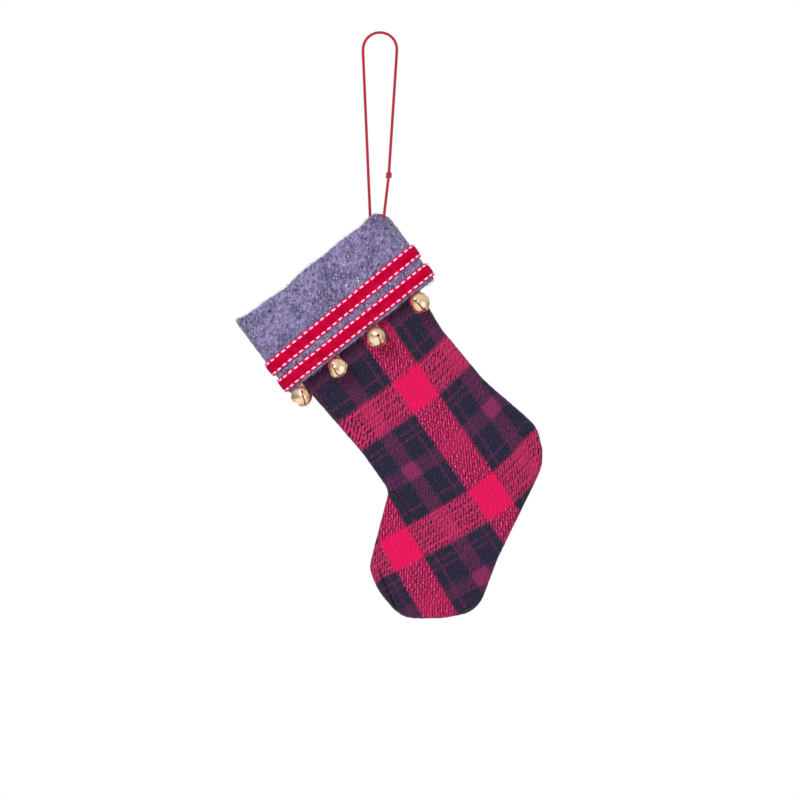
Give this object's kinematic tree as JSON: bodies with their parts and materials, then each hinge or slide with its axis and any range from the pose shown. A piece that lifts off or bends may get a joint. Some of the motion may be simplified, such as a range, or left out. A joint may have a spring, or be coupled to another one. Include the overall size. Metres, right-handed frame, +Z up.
{
  "type": "hanging stocking",
  "caption": "Small plaid stocking ornament with a felt cuff, two stitched ribbons, jingle bells along the hem and a cord loop, hung tilted by one corner.",
  "frame": {"origin": "inside top of the cord loop, where a hook or twig carries it", "axes": "+Z up, -Y towards the front of the stocking, +X to the heel's side"},
  "size_m": [0.1354, 0.0259, 0.2594],
  "materials": {
    "cord": "twisted cord",
    "plaid": "brushed plaid flannel",
    "seam_thread": "sewing thread",
    "felt": "heather felt",
    "ribbon": "woven ribbon",
    "stitch": "thread",
    "bell_thread": "thread",
    "bell": "polished",
    "pellet": "plain"
  },
  "bodies": {
    "hanger": {"hang_cord": "cord", "hang_knot": "cord"},
    "stocking": {"leg_front_panel": "plaid", "leg_back_panel": "plaid", "leg_seam_thread": "seam_thread", "cuff_band": "felt", "cuff_side_seam_thread": "seam_thread", "mouth_seam_thread": "seam_thread", "ribbon_upper": "ribbon", "ribbon_lower": "ribbon", "ribbon_upper_stitches": "stitch", "ribbon_lower_stitches": "stitch"},
    "thread_1": {"bell_thread_1": "bell_thread"},
    "bell_1": {"bell_shell_1": "bell", "bell_shank_1": "bell"},
    "pellet_1": {"bell_pellet_1": "pellet"},
    "thread_2": {"bell_thread_2": "bell_thread"},
    "bell_2": {"bell_shell_2": "bell", "bell_shank_2": "bell"},
    "pellet_2": {"bell_pellet_2": "pellet"},
    "thread_3": {"bell_thread_3": "bell_thread"},
    "bell_3": {"bell_shell_3": "bell", "bell_shank_3": "bell"},
    "pellet_3": {"bell_pellet_3": "pellet"},
    "thread_4": {"bell_thread_4": "bell_thread"},
    "bell_4": {"bell_shell_4": "bell", "bell_shank_4": "bell"},
    "pellet_4": {"bell_pellet_4": "pellet"}
  },
  "joints": [
    {"name": "stocking_swing", "type": "hinge", "parent": "hanger", "child": "stocking", "pos_m": [0.0016, -0.006, -0.0819], "axis": [0, 1, 0], "range_deg": [-15, 15]},
    {"name": "bell_1_sway", "type": "hinge", "parent": "stocking", "child": "thread_1", "pos_m": [-0.03417, -0.0081, -0.15274], "axis": [0, 1, 0], "range_deg": [-20, 4]},
    {"name": "bell_1_lift", "type": "hinge", "parent": "thread_1", "child": "bell_1", "pos_m": [-0.03417, -0.0081, -0.15443], "axis": [-1, 0, 0], "range_deg": [0, 45]},
    {"name": "pellet_1_roll", "type": "hinge", "parent": "bell_1", "child": "pellet_1", "pos_m": [-0.03417, -0.01125, -0.15942], "axis": [1, 0, 0], "range_deg": [-60, 60]},
    {"name": "bell_2_sway", "type": "hinge", "parent": "stocking", "child": "thread_2", "pos_m": [-0.01841, -0.0081, -0.14025], "axis": [0, 1, 0], "range_deg": [-20, 4]},
    {"name": "bell_2_lift", "type": "hinge", "parent": "thread_2", "child": "bell_2", "pos_m": [-0.01841, -0.0081, -0.14194], "axis": [-1, 0, 0], "range_deg": [0, 45]},
    {"name": "pellet_2_roll", "type": "hinge", "parent": "bell_2", "child": "pellet_2", "pos_m": [-0.01841, -0.01125, -0.14693], "axis": [1, 0, 0], "range_deg": [-60, 60]},
    {"name": "bell_3_sway", "type": "hinge", "parent": "stocking", "child": "thread_3", "pos_m": [-0.00133, -0.0081, -0.1267], "axis": [0, 1, 0], "range_deg": [-20, 4]},
    {"name": "bell_3_lift", "type": "hinge", "parent": "thread_3", "child": "bell_3", "pos_m": [-0.00133, -0.0081, -0.1284], "axis": [-1, 0, 0], "range_deg": [0, 45]},
    {"name": "pellet_3_roll", "type": "hinge", "parent": "bell_3", "child": "pellet_3", "pos_m": [-0.00133, -0.01125, -0.13339], "axis": [1, 0, 0], "range_deg": [-60, 60]},
    {"name": "bell_4_sway", "type": "hinge", "parent": "stocking", "child": "thread_4", "pos_m": [0.01741, -0.0081, -0.11185], "axis": [0, 1, 0], "range_deg": [-20, 4]},
    {"name": "bell_4_lift", "type": "hinge", "parent": "thread_4", "child": "bell_4", "pos_m": [0.01741, -0.0081, -0.11355], "axis": [-1, 0, 0], "range_deg": [0, 45]},
    {"name": "pellet_4_roll", "type": "hinge", "parent": "bell_4", "child": "pellet_4", "pos_m": [0.01741, -0.01125, -0.11854], "axis": [1, 0, 0], "range_deg": [-60, 60]}
  ]
}
